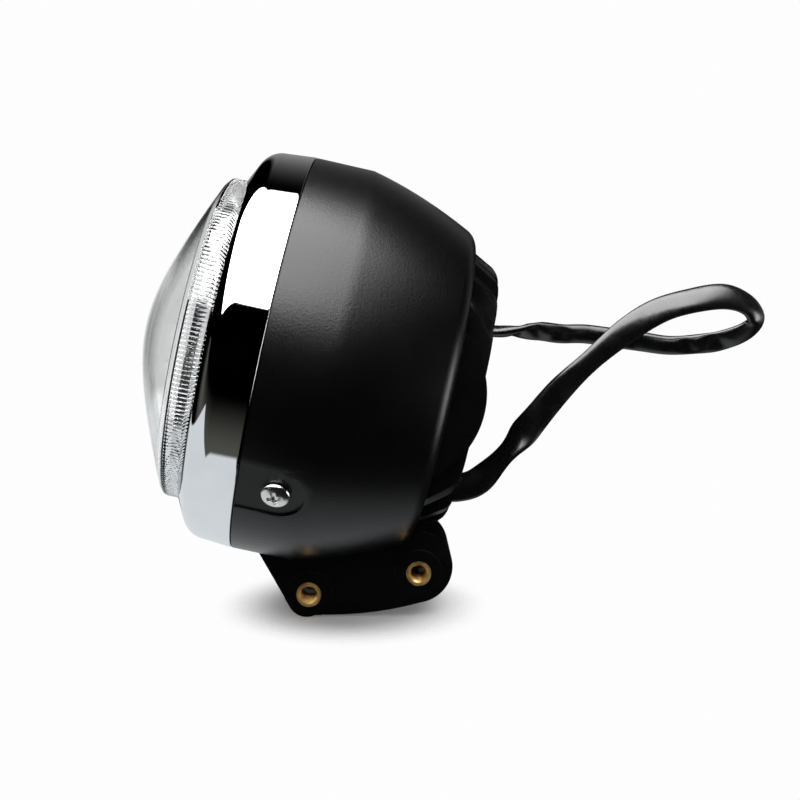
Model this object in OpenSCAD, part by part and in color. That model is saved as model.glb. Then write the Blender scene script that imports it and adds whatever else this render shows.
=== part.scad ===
// Round LED motorcycle headlight: moulded housing with a threaded mounting
// lug, chromed bezel, domed lens with a fluted rim, finned heat sink and a
// looped cable sleeve. The optical axis runs along X, the lens faces -X and
// Z is up. The origin is on the axis of the front mounting thread, midway
// between its two inserts.

/* [Bezel] */
// Diameter of the bezel at the seam with the housing
bezel_d = 165; // [160:0.5:172]
// Depth of the bezel from its front lip to the seam
bezel_depth = 24; // [22:0.5:28]
// Radius of the rounded shoulder of the bezel
shoulder_r = 9.4; // [7:0.2:10]
// Wall of the bezel
bezel_wall = 2.4; // [2:0.1:3]
// Draft of the bezel side, on the radius
bezel_draft = 1.1; // [0.5:0.1:2]
// Angle of the bezel's sloping front face
face_angle = 24; // [20:1:28]

/* [Housing] */
// Length of the housing from the seam to its rear rim
housing_depth = 71; // [68:0.5:78]
// Length of the cylindrical front part of the housing
straight_depth = 24; // [18:0.5:28]
// Wall of the housing
housing_wall = 3; // [2.4:0.1:3.4]
// Radius of the rounded rear corner
corner_r = 8; // [6:0.5:8.5]
// Share of the taper that is bowed instead of straight
taper_bow = 0.38; // [0.2:0.02:0.5]
// Dark gap between bezel and housing
seam_gap = 0.5; // [0.3:0.1:1]

/* [Side screws] */
// Angle of the side screws below the horizontal
screw_angle = 32.5; // [26:0.5:38]
// Distance of the side screws behind the seam
screw_back = 15; // [13:0.5:18]
// Diameter of the screw head
screw_head_d = 11.2; // [9:0.2:12]
// Height of the screw head
screw_head_h = 3.6; // [3:0.1:4]
// Diameter of the screw shank
screw_d = 4.8; // [4:0.1:5.5]
// Width of the flat pocket around each side screw
pocket_w = 21.8; // [18:0.2:24]
// Depth of the pocket at its middle
pocket_depth = 1.6; // [1.4:0.1:2.2]

/* [Lens] */
// Distance from the bezel's seam in to the fluted rim of the lens
lens_inset = 15.3; // [14.5:0.1:17]
// Height of the lens crown in front of the seam
lens_reach = 54.4; // [50:0.2:60]
// Where the dome meets the rim, in front of the seam
dome_edge = 31.5; // [30:0.1:33]
// Wall of the lens
lens_wall = 2.8; // [2.2:0.1:3.2]
// Number of flutes round the rim
flute_count = 240; // [120:10:260]
// Depth of one flute
flute_depth = 0.6; // [0.3:0.05:0.8]
// Roundness of the crown, as the length over which it turns conical
crown_turn = 17.7; // [12:0.1:30]

/* [Heat sink] */
// Diameter of the heat sink
sink_d = 119; // [114:0.5:122]
// How far the fins stand out behind the housing rim
fin_reach = 13.8; // [11:0.2:16]
// Thickness of one fin
fin_t = 3; // [2.4:0.1:3.6]
// Distance from fin to fin
fin_pitch = 10.9; // [10.5:0.1:11.4]
// Number of fins on each side of the middle one
fin_pairs = 4; // [3:1:4]
// Thickness of the flat end rib on each side
end_rib_t = 2.5; // [2:0.1:3]
// Outline radius of the end ribs
end_rib_r = 35.5; // [33:0.5:37]
// Thickness of the heat sink's base plate
base_t = 6; // [5:0.5:7]

/* [Mounting lug] */
// Width of the lug across the lamp
lug_w = 38; // [34:1:44]
// Distance of the front thread behind the seam
mount_back = 35; // [32:0.5:38]
// Distance of the front thread's axis below the bezel
mount_below = 10.5; // [9.5:0.25:13]
// Distance between the two threads along the lamp
thread_step = 42.5; // [40:0.5:44]
// Height of the rear thread above the front thread
thread_rise = 18.5; // [17:0.5:20]
// Diameter of the threaded bore of an insert
thread_bore_d = 6.8; // [6.4:0.1:7]
// Outer diameter of a brass insert
insert_d = 10.5; // [9.5:0.1:11.5]
// Length of a brass insert
insert_l = 14; // [10:0.5:15]
// Diameter of the raised ring of plastic round each insert
boss_d = 20; // [16:0.5:21]
// Height of that raised ring
boss_h = 0.6; // [0.4:0.1:1]

/* [Light unit] */
// Width of the bright trim ring between the lens and the reflector
trim_w = 6.4; // [5:0.2:8]
// Distance of the light sources behind the seam
source_back = 20; // [18:0.5:22]
// Thickness of the horizontal light bridge
bridge_t = 6; // [5:0.5:8]
// Width of the light bridge
bridge_w = 46; // [40:1:52]
// Number of light chips on each side of the bridge
chip_count = 3; // [2:1:4]
// Edge of one light chip
chip_w = 3.6; // [3:0.1:4.4]

/* [Cable] */
// Width of the flattened cable sleeve
sleeve_w = 12.5; // [11:0.5:13]
// Thickness of the flattened cable sleeve
sleeve_t = 5; // [4:0.5:6]
// Diameter of the grommet neck
grommet_d = 16; // [15:0.5:18]
// Height of the upper grommet above the optical axis
grommet_up = 29; // [27:0.5:31]
// Depth of the lower grommet below the optical axis
grommet_down = 40; // [39:0.5:41]

/* [Hidden] */
$fn = 96;

// Clearances
fit = 0.1;
running = 0.5;
eps = 0.01;
cut = 1;

// Bezel
bezel_r = bezel_d / 2;
mount_drop = bezel_r + mount_below;
lens_d = bezel_d - 2 * lens_inset;
front_r = bezel_r - bezel_draft;
arc_r0 = front_r - shoulder_r;
opening_r = lens_d / 2 + 1;
face_rise = tan(face_angle);
arc_end_r = arc_r0 + shoulder_r * cos(90 - face_angle);
shoulder_a = -bezel_depth + (arc_end_r - opening_r) * face_rise
    + shoulder_r * sin(90 - face_angle);
inner_shoulder_r = shoulder_r - bezel_wall;
lip_t = 3.8;
seat_a = -bezel_depth + lip_t;

// Lens and its seal, behind the bezel lip
rim_r = lens_d / 2;
seal_t = 1.6;
seal_w = 2.2;
flange_t = 3;
flange_front = seat_a + seal_t;
flange_back = flange_front + flange_t;
flange_r = rim_r + 4.6;
root_r = rim_r - flute_depth;
lens_bore_r = root_r - lens_wall + 0.2;
flute_end = -bezel_depth + 0.8;
bevel_h = 0.9;
crown_r = rim_r - 1.4;
crown_h = lens_reach - dome_edge - bevel_h;
// The dome is a hyperbola of revolution: its height at the edge sets its slope
crown_slope = sqrt((crown_h + crown_turn) * (crown_h + crown_turn)
    - crown_turn * crown_turn) / crown_r;

// Light unit behind the lens
body_flange_t = 3;
body_flange_back = flange_back + body_flange_t;
body_wall = 2.4;
body_front_r = flange_r - 3.5;
reflector_wall = 1.8;
reflector_lip_t = 2;
reflector_front = flange_back - reflector_lip_t;
reflector_rim_r = lens_bore_r - trim_w;
// The focal length that puts the sources in the focus and the rim at its radius
source_to_rim = source_back - reflector_front;
focal = (sqrt(source_to_rim * source_to_rim + reflector_rim_r * reflector_rim_r)
    - source_to_rim) / 2;
vertex_a = source_back + focal;
trim_len = 12;
trim_edge = 1;
trim_chamfer = 1.6;

// Heat sink
sink_r = sink_d / 2;
sink_back = housing_depth - 0.6;
base_front = sink_back - base_t;
skirt_in_r = sink_r - 7;
skirt_l = 6;
skirt_front = base_front - skirt_l;
rear_opening_r = sink_r + running;
fin_corner_r = 6.4;
fin_side_angle = 25;
fin_top = housing_depth + fin_reach - 1.8;
fin_arc_r0 = sink_r - 10.2;
fin_arc_a0 = fin_top - fin_corner_r;
end_rib_y = fin_pairs * fin_pitch + fin_t / 2 + 3.6 + end_rib_t / 2;
end_rib_apex = housing_depth + fin_reach + 0.5;
pocket_round = sleeve_w + 0.5;

// Light unit's own back wall carries the heat sink
body_back = skirt_front;
body_back_t = 3;
body_back_r = sink_r - 1;
body_hole_r = 40;
sink_seal_t = 1;
sink_screw_r = skirt_in_r - 2.8;
sink_screw_d = 4;
sink_screw_l = 12;
sink_boss_r = 4.4;

// Light bridge
pad_t = 0.5;
foot_t = 4;
foot_w = 60;
foot_h = 28;
foot_back = base_front - pad_t;
bridge_front = -18;
cap_l = 11;
cap_h = 12;
cap_w = bridge_w + 6;
board_t = 1.2;
board_l = 26;
board_w = 34;
chip_t = 0.9;
chip_step = 8;
bridge_screw_d = 4;
bridge_screw_y = foot_w / 2 - 7;
bridge_screw_z = foot_h / 2 - 5;
bridge_screw_l = 8;
screw_head_t = 2.4;

// Driver board on two posts of the heat sink
driver_w = 56;
driver_h = 20;
driver_t = 1.6;
post_h = 2.4;
driver_z = -foot_h / 2 - 2 - driver_h / 2;
coil_d = 12;
coil_h = 6;

// Housing
housing_r = bezel_r - 0.1;
corner_start = 24;
corner_r0 = rear_opening_r + 0.2;
corner_a0 = housing_depth - corner_r;
taper_end_r = corner_r0 + corner_r * cos(corner_start);
taper_end_a = corner_a0 + corner_r * sin(corner_start);
rear_wall_front = housing_depth - 4;
spigot_l = 5;
spigot_r = bezel_r - bezel_wall - 0.6;
spigot_t = 2.2;

// Side screws, each in a flat pocket over a pad inside the wall
pocket_floor = housing_r - pocket_depth;
screw_pad_t = 4.1;
pad_in = pocket_floor - screw_pad_t;
pad_w = pocket_w + 6;
pocket_end = screw_back + pocket_w / 2;
tab_t = 2;
tab_out = pad_in - fit;
tab_w = 14;
tab_front = -10;
nut_t = 1.6;
nut_w = 12;
barrel_h = 3;

// Lug outline in the lamp's own axes: x behind the seam, z from the axis
lug_front_r = 8;
lug_front = [mount_back - 0.5, -mount_drop - 1.5];
lug_rear_r = 15.4;
lug_rear = [mount_back + thread_step - 2, -mount_drop + thread_rise + 2.5];
lug_start_x = 10.4;
lug_root_z = -58;
lug_bow = 2.2;
insert_recess = 0.2;
middle_bore_d = 8.4;
insert_face = lug_w / 2 + boss_h - insert_recess;

// Cable sleeve
grommet_flange_t = 2;
grommet_neck_l = 7;
grommet_back = sink_back + grommet_flange_t + grommet_neck_l;
sleeve_sides = 12;
sleeve_steps = 3;
// The route's points, in the object's frame: X, Y, Z, then the direction of
// the sleeve's wide side as X, Y, Z
route = [
    [ 44, 0, 122, 0, 1, 0],
    [ 52, 0, 122, 0, 1, 0],
    [ 61, 1, 124, 0, 1, 0.1],
    [ 71, 3, 126, 0, 0.85, 0.5],
    [ 81, 5, 127, 0, 0.75, 0.7],
    [ 91, 7, 129, 0, 0.7, 0.7],
    [103, 8, 130, 0, 0.75, 0.7],
    [115, 8, 131, 0, 0.75, 0.7],
    [127, 8, 132, 0, 0.7, 0.7],
    [138, 7, 135, 0, 0.75, 0.7],
    [148, 5, 139, 0.2, 0.7, 0.7],
    [156, 2, 145, 0.6, 0.8, 0.3],
    [158, -1, 151, 0.7, 0.7, 0],
    [152, -4, 156, 0.5, 0.7, 0.7],
    [141, -7, 157, 0, 0.5, 1],
    [127, -9, 152, -0.2, 0.3, 1],
    [115, -9, 145, -0.3, 0.6, 0.7],
    [104, -9, 134, -0.4, 0.75, 0.5],
    [ 93, -8, 119, -0.5, 0.75, 0.45],
    [ 84, -7, 105, -0.5, 0.75, 0.45],
    [ 76, -6, 89, -0.5, 0.8, 0.4],
    [68.5, -4, 73.5, -0.3, 0.9, 0.3],
    [ 60, -2, 59, -0.4, 0.35, 0.85],
    [ 52, 0, 53.7, -0.2, 0.1, 1],
    [ 44, 0, 53, 0, 0, 1]
];

// Points of an arc round [cr, ca], angles measured from the radial direction
// towards the rear
function arc(cr, ca, r, a0, a1, n) =
    [for (i = [0 : n]) let(t = a0 + (a1 - a0) * i / n) [cr + r * cos(t), ca + r * sin(t)]];

// Dome of the lens: distance behind the crown at radius r
function dome(r) =
    sqrt(crown_turn * crown_turn + crown_slope * crown_slope * r * r) - crown_turn;

// Outer radius of the housing's taper at axial place a
function taper_r(a) = let(t = (a - straight_depth) / (taper_end_a - straight_depth))
    housing_r - (housing_r - taper_end_r) * ((1 - taper_bow) * t + taper_bow * t * t);

// Radius of the reflector's paraboloid at axial place a
function bowl_r(a) = 2 * sqrt(focal * (vertex_a - a));

function reversed(list) = [for (i = [len(list) - 1 : -1 : 0]) list[i]];

// Moves children from the lamp's axes, with X behind the seam, to the frame
module lamp() {
    translate([-mount_back, 0, mount_drop]) children();
}

// Turns a profile of [radius, place behind the seam] round the optical axis
module lathe(points) {
    lamp() rotate([0, 90, 0]) rotate_extrude() polygon(points);
}

// Axes at a side screw: X along the lamp, Z radially outwards
module at_side(side) {
    lamp() rotate([side * (90 + screw_angle), 0, 0]) children();
}

// Bar parallel to the optical axis, from place a0 to a1, at [y, z]
module rod(a0, a1, r, y, z) {
    lamp() translate([a0, y, z]) rotate([0, 90, 0]) cylinder(r = r, h = a1 - a0);
}

// Block from place a0 to a1 behind the seam, centred on y = 0 and on z
module block(a0, a1, w, z0, z1) {
    lamp() translate([a0, -w / 2, z0]) cube([a1 - a0, w, z1 - z0]);
}

// Housing

taper_steps = 9;
outer_taper = [for (i = [0 : taper_steps])
    let(a = straight_depth + (taper_end_a - straight_depth) * i / taper_steps)
    [taper_r(a), a]];
inner_taper = [for (i = [0 : taper_steps - 1])
    let(a = straight_depth + (skirt_front - straight_depth) * i / taper_steps)
    [taper_r(a) - housing_wall, a]];
seat_r = taper_r(skirt_front) - housing_wall;

module housing_shell() {
    lathe(concat(
        [[housing_r, seam_gap]],
        outer_taper,
        arc(corner_r0, corner_a0, corner_r, corner_start, 88, 10),
        [[rear_opening_r, housing_depth - 0.4],
         [rear_opening_r, rear_wall_front],
         [min(seat_r, taper_end_r - 2.5), rear_wall_front],
         [seat_r, skirt_front]],
        reversed(inner_taper),
        [[housing_r - housing_wall, spigot_l],
         [spigot_r - spigot_t, spigot_l],
         [spigot_r - spigot_t, -spigot_l],
         [spigot_r, -spigot_l],
         [spigot_r, seam_gap]]
    ));
}

// Everything inside the shell's outer face, which the lug lies against
module shell_envelope() {
    rear_edge = arc(corner_r0, corner_a0, corner_r, corner_start, 88, 10);
    lathe(concat(
        [[0, -spigot_l], [housing_r, -spigot_l]],
        outer_taper,
        rear_edge,
        [[0, rear_edge[len(rear_edge) - 1][1]]]
    ));
}

// Outline of the lug: two round ends joined by tangent lines, with a bowed
// underside. The rear thread sits in the upper round end.
module lug_outline() {
    span = lug_rear - lug_front;
    reach = norm(span);
    lean = atan2(span[1], span[0]);
    turn = asin((lug_rear_r - lug_front_r) / reach);
    down = lean - 90 + turn;
    out = [cos(down), sin(down)];
    low_a = lug_front + lug_front_r * out;
    low_b = lug_rear + lug_rear_r * out;
    bow = [for (i = [1 : 7])
        low_a + (low_b - low_a) * i / 8 + out * lug_bow * (1 - pow(i / 4 - 1, 2))];
    start = [lug_start_x, -sqrt(housing_r * housing_r - lug_w * lug_w / 4) + 1];
    side = lug_front - start;
    lead = atan2(side[1], side[0]) - asin(lug_front_r / norm(side));
    touch = lug_front + lug_front_r * [cos(lead - 90), sin(lead - 90)];
    translate(lug_front) circle(r = lug_front_r);
    translate(lug_rear) circle(r = lug_rear_r);
    polygon(concat(
        [[lug_start_x, lug_root_z], start, touch, lug_front, low_a],
        bow,
        [low_b, lug_rear, [lug_rear[0], lug_rear[1] + lug_rear_r - eps],
         [lug_rear[0] - lug_rear_r, lug_root_z]]
    ));
}

module at_thread(x, z) {
    translate([x, 0, z]) rotate([90, 0, 0]) children();
}

module lug_plate(w) {
    lamp() rotate([90, 0, 0]) linear_extrude(w, center = true) lug_outline();
}

// The lug is moulded in one with the housing. It is a node of its own, face to
// face with the shell, so that its collision pieces leave its sides free.
module mounting_lug() {
    color([0.07, 0.07, 0.075]) difference() {
        union() {
            lug_plate(lug_w);
            intersection() {
                lug_plate(lug_w + 2 * boss_h);
                union() {
                    at_thread(0, 0)
                        cylinder(d = boss_d, h = lug_w + 4 * boss_h, center = true);
                    at_thread(thread_step, thread_rise)
                        cylinder(d = boss_d, h = lug_w + 4 * boss_h, center = true);
                }
            }
        }
        shell_envelope();
        lathe([[0, housing_depth - 3], [sink_r + 1.2, housing_depth - 3],
               [sink_r + 1.2, housing_depth + 1.5],
               [fin_arc_r0 + fin_corner_r + 1.5, fin_top],
               [fin_arc_r0, fin_top + 3], [0, fin_top + 3]]);
        insert_holes(0, 0);
        insert_holes(thread_step, thread_rise);
    }
}

module insert_holes(x, z) {
    at_thread(x, z) cylinder(d = middle_bore_d, h = lug_w + 4, center = true);
    for (side = [-1, 1])
        at_thread(x, z) translate([0, 0, side * (insert_face - insert_l / 2 + cut)])
            cylinder(d = insert_d + fit, h = insert_l + 2 * cut, center = true);
}

// Flat-floored pocket, open towards the seam, with a round end
module pocket(side) {
    at_side(side) translate([0, 0, pocket_floor]) linear_extrude(10) {
        translate([screw_back, 0]) circle(d = pocket_w);
        translate([-cut, -pocket_w / 2]) square([screw_back + cut, pocket_w]);
    }
}

module screw_pad(side) {
    intersection() {
        at_side(side) translate([spigot_l - eps, -pad_w / 2, pad_in])
            cube([pocket_end - spigot_l + 2, pad_w, housing_r - pad_in]);
        lathe([[0, 0], [housing_r - 1, 0], [housing_r - 1, straight_depth],
               [taper_r(pocket_end + 3) - 1, pocket_end + 3], [0, pocket_end + 3]]);
    }
}

module housing() {
    color([0.07, 0.07, 0.075]) difference() {
        union() {
            housing_shell();
            screw_pad(1);
            screw_pad(-1);
        }
        for (side = [-1, 1]) {
            pocket(side);
            at_side(side) translate([screw_back, 0, pad_in - cut])
                cylinder(d = screw_d + 0.6, h = 3 * cut + housing_r - pad_in);
        }
        insert_holes(0, 0);
        insert_holes(thread_step, thread_rise);
    }
}

// Bezel, with three bosses for the retaining ring and two screw tabs

boss_r = arc_r0 + 3.4;
ring_boss_d = 5.6;
ring_screw_d = 2.6;
ring_screw_l = 4.6;
ring_head_h = 1.8;
ring_t = 1.6;
ring_in_r = body_front_r + 0.6;
ring_out_r = boss_r + ring_t;
ring_back = body_flange_back + ring_t;

module ring_spots() {
    for (t = [30, 150, 270])
        lamp() rotate([t, 0, 0]) translate([0, 0, boss_r]) children();
}

module tab(side) {
    at_side(side) {
        translate([tab_front, -tab_w / 2, tab_out - tab_t])
            cube([screw_back + tab_w / 2 - tab_front, tab_w, tab_t]);
        translate([tab_front, -tab_w / 2, tab_out - tab_t])
            cube([3, tab_w, bezel_r - tab_out + tab_t]);
    }
}

module bezel() {
    inner_start = arc_r0 + inner_shoulder_r * cos(90 - face_angle);
    inner_start_a = shoulder_a - inner_shoulder_r * sin(90 - face_angle);
    // Room for the bosses and tabs, a little way into the bezel's wall
    bite = 0.4;
    room = arc(arc_r0, shoulder_a, inner_shoulder_r + bite, face_angle - 90, 0, 8);
    room_front = room[0][1] - (room[0][0] - flange_r) * face_rise;
    tab_side = -spigot_l - 1.5 * bite;
    tab_end = screw_back + tab_w;
    color([0.85, 0.86, 0.88]) difference() {
        union() {
            lathe(concat(
                [[bezel_r, 0]],
                arc(arc_r0, shoulder_a, shoulder_r, 0, face_angle - 90, 14),
                arc(opening_r + 0.8, -bezel_depth + 0.8, 0.8, -90 - face_angle / 2, -180, 4),
                [[opening_r, seat_a],
                 [inner_start - (inner_start_a - seat_a) / face_rise, seat_a]],
                reversed(arc(arc_r0, shoulder_a, inner_shoulder_r, 0, face_angle - 90, 10)),
                [[bezel_r - bezel_wall, 0]]
            ));
            intersection() {
                union() {
                    ring_spots() rotate([0, 90, 0]) translate([0, 0, -bezel_depth])
                        cylinder(d = ring_boss_d, h = bezel_depth + body_flange_back);
                    tab(1);
                    tab(-1);
                }
                lathe(concat(
                    [[0, tab_end], [0, room_front], [flange_r, room_front]],
                    room,
                    [[bezel_r - bezel_wall + bite / 2, tab_side],
                     [tab_out + 1, tab_side], [tab_out + 1, tab_end]]
                ));
            }
        }
        ring_spots() rotate([0, 90, 0])
            translate([0, 0, body_flange_back - ring_screw_l - bite])
                cylinder(d = ring_screw_d, h = ring_screw_l + bite + cut);
        for (side = [-1, 1])
            at_side(side) translate([screw_back, 0, tab_out - tab_t - cut])
                cylinder(d = screw_d + 0.6, h = tab_t + 2 * cut);
    }
}

module retaining_ring() {
    color([0.7, 0.72, 0.74]) difference() {
        lathe([[ring_in_r, body_flange_back], [ring_out_r, body_flange_back],
               [ring_out_r, ring_back], [ring_in_r, ring_back]]);
        ring_spots() rotate([0, 90, 0]) translate([0, 0, body_flange_back - cut])
            cylinder(d = ring_screw_d + 0.4, h = ring_t + 2 * cut);
    }
}

module retaining_screws() {
    color([0.75, 0.75, 0.76]) ring_spots() rotate([0, 90, 0]) {
        translate([0, 0, body_flange_back - ring_screw_l])
            cylinder(d = ring_screw_d - fit, h = ring_screw_l + ring_t);
        translate([0, 0, ring_back]) cylinder(d = ring_screw_d * 1.7, h = ring_head_h);
    }
}

// Side screws and their clip nuts

module bezel_screw(side) {
    shank_in = tab_out - tab_t - nut_t - barrel_h;
    head_r = screw_head_d / 2;
    head_edge = 0.35 * screw_head_h;
    recess_w = 1.6;
    recess_l = 5.8;
    recess_t = 1.6;
    color([0.78, 0.79, 0.8]) at_side(side) translate([screw_back, 0, 0]) difference() {
        union() {
            translate([0, 0, shank_in]) cylinder(d = screw_d, h = pocket_floor - shank_in);
            translate([0, 0, pocket_floor]) rotate_extrude() polygon(concat(
                [[0, 0], [head_r - 0.2, 0], [head_r, 0.3]],
                [for (t = [0 : 10 : 90])
                    [head_r * cos(t), head_edge + (screw_head_h - head_edge) * sin(t)]]
            ));
        }
        translate([0, 0, pocket_floor + screw_head_h - recess_t]) {
            for (turn = [20, 110]) rotate(turn)
                translate([-recess_l / 2, -recess_w / 2, 0])
                    cube([recess_l, recess_w, recess_t + cut]);
            cylinder(d = 1.8 * recess_w, h = recess_t + cut);
        }
    }
}

module bezel_screw_near() { bezel_screw(1); }
module bezel_screw_far() { bezel_screw(-1); }

module clip_nuts() {
    nut_out = tab_out - tab_t;
    color([0.25, 0.25, 0.27]) for (side = [-1, 1])
        at_side(side) translate([screw_back, 0, 0]) difference() {
            union() {
                translate([-nut_w / 2, -nut_w / 2, nut_out - nut_t])
                    cube([nut_w, nut_w, nut_t]);
                translate([0, 0, nut_out - nut_t - barrel_h])
                    cylinder(d = screw_d + 3.6, h = barrel_h + eps);
            }
            translate([0, 0, nut_out - nut_t - barrel_h - cut])
                cylinder(d = screw_d + fit, h = nut_t + barrel_h + 2 * cut);
        }
}

// Lens

// Zigzag outline of the fluted rim
module flute_outline() {
    polygon([for (i = [0 : 2 * flute_count - 1])
        let(t = 180 * i / flute_count, r = (i % 2 == 0) ? rim_r : root_r)
        [r * cos(t), r * sin(t)]]);
}

module lens() {
    steps = 16;
    tip = 1.5;
    crown = [for (i = [0 : steps]) let(r = tip + (crown_r - tip) * i / steps)
        [r, -lens_reach + dome(r)]];
    hollow_r = min(lens_bore_r, crown_r - lens_wall);
    hollow_front = -lens_reach + lens_wall * 1.08;
    hollow = [for (i = [0 : steps]) let(r = tip + (hollow_r - tip) * i / steps)
        [r, hollow_front + dome(r)]];
    color([0.9, 0.94, 0.97, 0.45]) union() {
        lathe(concat(
            [[0, -lens_reach + dome(tip)]],
            crown,
            [[rim_r - 0.2, -dome_edge], [rim_r - 0.2, -dome_edge + bevel_h],
             [root_r - 0.1, -dome_edge + bevel_h],
             [root_r - 0.1, flange_front], [flange_r, flange_front],
             [flange_r, flange_back], [lens_bore_r, flange_back],
             [lens_bore_r, -dome_edge + 2]],
            reversed(hollow),
            [[0, hollow_front + dome(tip)]]
        ));
        lamp() rotate([0, 90, 0]) translate([0, 0, -dome_edge + bevel_h])
            linear_extrude(flute_end + dome_edge - bevel_h) difference() {
                flute_outline();
                circle(r = root_r - 1);
            }
    }
}

module lens_seal() {
    color([0.2, 0.2, 0.2])
        lathe([[opening_r + 0.2, seat_a], [opening_r + 0.2 + seal_w, seat_a],
               [opening_r + 0.2 + seal_w, flange_front],
               [opening_r + 0.2, flange_front]]);
}

// Light unit

module trim_ring() {
    out_r = lens_bore_r - fit - 0.2;
    color([0.86, 0.87, 0.89])
        lathe([[out_r, reflector_front],
               [out_r, reflector_front - trim_len + trim_chamfer],
               [out_r - trim_chamfer, reflector_front - trim_len],
               [out_r - trim_chamfer - trim_edge, reflector_front - trim_len],
               [reflector_rim_r + trim_edge, reflector_front - 2 * trim_edge],
               [reflector_rim_r + trim_edge, reflector_front]]);
}

// One half of the paraboloid bowl, with a lip that lies on the unit's body
module half_bowl(upper) {
    steps = 14;
    back = source_back + 12;
    span = back - reflector_front;
    inside = [for (i = [0 : steps]) let(a = back - span * i / steps) [bowl_r(a), a]];
    outside = [for (i = [0 : steps]) let(a = back - (span - reflector_lip_t) * i / steps)
        [bowl_r(a) + reflector_wall, a]];
    lip_r = lens_bore_r - fit - 0.2;
    gap = bridge_t / 2 + board_t + fit;
    intersection() {
        lathe(concat(
            inside,
            [[lip_r, reflector_front], [lip_r, reflector_front + reflector_lip_t]],
            reversed(outside)
        ));
        lamp() translate([-bezel_depth, -flange_r, upper ? gap : -gap - flange_r])
            cube([bezel_depth + back + cut, 2 * flange_r, flange_r]);
    }
}

module reflector_upper() { color([0.86, 0.87, 0.89]) half_bowl(true); }
module reflector_lower() { color([0.86, 0.87, 0.89]) half_bowl(false); }

module insert_body() {
    lip_in = lens_bore_r - 4.5;
    mid_a = body_flange_back + 12;
    color([0.12, 0.12, 0.13]) difference() {
        lathe([[lip_in, flange_back], [flange_r, flange_back],
               [flange_r, body_flange_back], [body_front_r, body_flange_back],
               [body_front_r, mid_a], [body_back_r, body_back - 6],
               [body_back_r, body_back], [body_hole_r, body_back],
               [body_hole_r, body_back - body_back_t],
               [body_back_r - body_wall, body_back - body_back_t],
               [body_back_r - body_wall, body_back - 6],
               [body_front_r - body_wall, mid_a],
               [body_front_r - body_wall, body_flange_back],
               [lip_in, body_flange_back]]);
        sink_spots() rotate([0, 90, 0]) translate([0, 0, body_back - body_back_t - cut])
            cylinder(d = sink_screw_d + 0.5, h = body_back_t + 2 * cut);
    }
}

module bridge_plan() {
    tip = 10;
    translate([bridge_front + tip, -bridge_w / 2])
        square([foot_back - foot_t - bridge_front - tip, bridge_w]);
    translate([bridge_front, -bridge_w / 2 + tip])
        square([tip + cut, bridge_w - 2 * tip]);
    for (side = [-1, 1])
        translate([bridge_front + tip, side * (bridge_w / 2 - tip)]) circle(r = tip);
}

module light_bridge() {
    color([0.62, 0.63, 0.65]) difference() {
        union() {
            lamp() translate([0, 0, -bridge_t / 2]) linear_extrude(bridge_t)
                bridge_plan();
            block(foot_back - foot_t, foot_back, foot_w, -foot_h / 2, foot_h / 2);
        }
        for (side = [-1, 1], up = [-1, 1])
            rod(foot_back - foot_t - cut, foot_back + cut, bridge_screw_d / 2 + 0.2,
                side * bridge_screw_y, up * bridge_screw_z);
    }
}

module bridge_screws() {
    color([0.75, 0.75, 0.76]) for (side = [-1, 1], up = [-1, 1]) {
        y = side * bridge_screw_y;
        z = up * bridge_screw_z;
        head_a = foot_back - foot_t;
        rod(head_a, head_a + bridge_screw_l, bridge_screw_d / 2 - fit, y, z);
        rod(head_a - screw_head_t, head_a, bridge_screw_d * 0.85, y, z);
    }
}

// Rounded nose over the front edge of the bridge
module bridge_cap() {
    tip = 12;
    nose_front = bridge_front - cap_l + 4;
    color([0.86, 0.87, 0.89]) difference() {
        intersection() {
            lamp() translate([0, 0, -cap_h / 2]) linear_extrude(cap_h) {
                translate([nose_front + tip, -cap_w / 2])
                    square([cap_l - tip + 8, cap_w]);
                translate([nose_front, -cap_w / 2 + tip])
                    square([tip + cut, cap_w - 2 * tip]);
                for (side = [-1, 1])
                    translate([nose_front + tip, side * (cap_w / 2 - tip)])
                        circle(r = tip);
            }
            lamp() translate([nose_front + cap_h * 0.7, 0, 0]) rotate([90, 0, 0])
                linear_extrude(cap_w + 2, center = true) {
                    scale([1.4, 1]) circle(r = cap_h / 2);
                    translate([0, -cap_h / 2]) square([cap_l, cap_h]);
                }
        }
        lamp() translate([0, 0, -bridge_t / 2 - fit]) linear_extrude(bridge_t + 2 * fit)
            translate([bridge_front - fit, -bridge_w / 2 - fit])
                square([cap_l + 8, bridge_w + 2 * fit]);
    }
}

module board(side) {
    z0 = side > 0 ? bridge_t / 2 : -bridge_t / 2 - board_t;
    block(source_back - board_l / 2, source_back + board_l / 2, board_w, z0, z0 + board_t);
}

module chips(side) {
    z0 = side > 0 ? bridge_t / 2 + board_t : -bridge_t / 2 - board_t - chip_t;
    for (i = [0 : chip_count - 1])
        lamp() translate([source_back - chip_w / 2,
                (i - (chip_count - 1) / 2) * chip_step - chip_w / 2, z0])
            cube([chip_w, chip_w, chip_t]);
}

module low_beam_board() { color([0.93, 0.93, 0.9]) board(1); }
module high_beam_board() { color([0.93, 0.93, 0.9]) board(-1); }
module low_beam_chips() { color([0.95, 0.85, 0.3]) chips(1); }
module high_beam_chips() { color([0.95, 0.85, 0.3]) chips(-1); }

module thermal_pad() {
    color([0.5, 0.6, 0.7]) difference() {
        block(foot_back, base_front, foot_w, -foot_h / 2, foot_h / 2);
        for (side = [-1, 1], up = [-1, 1])
            rod(foot_back - cut, base_front + cut, bridge_screw_d / 2 + 0.2,
                side * bridge_screw_y, up * bridge_screw_z);
    }
}

// Heat sink

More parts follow.
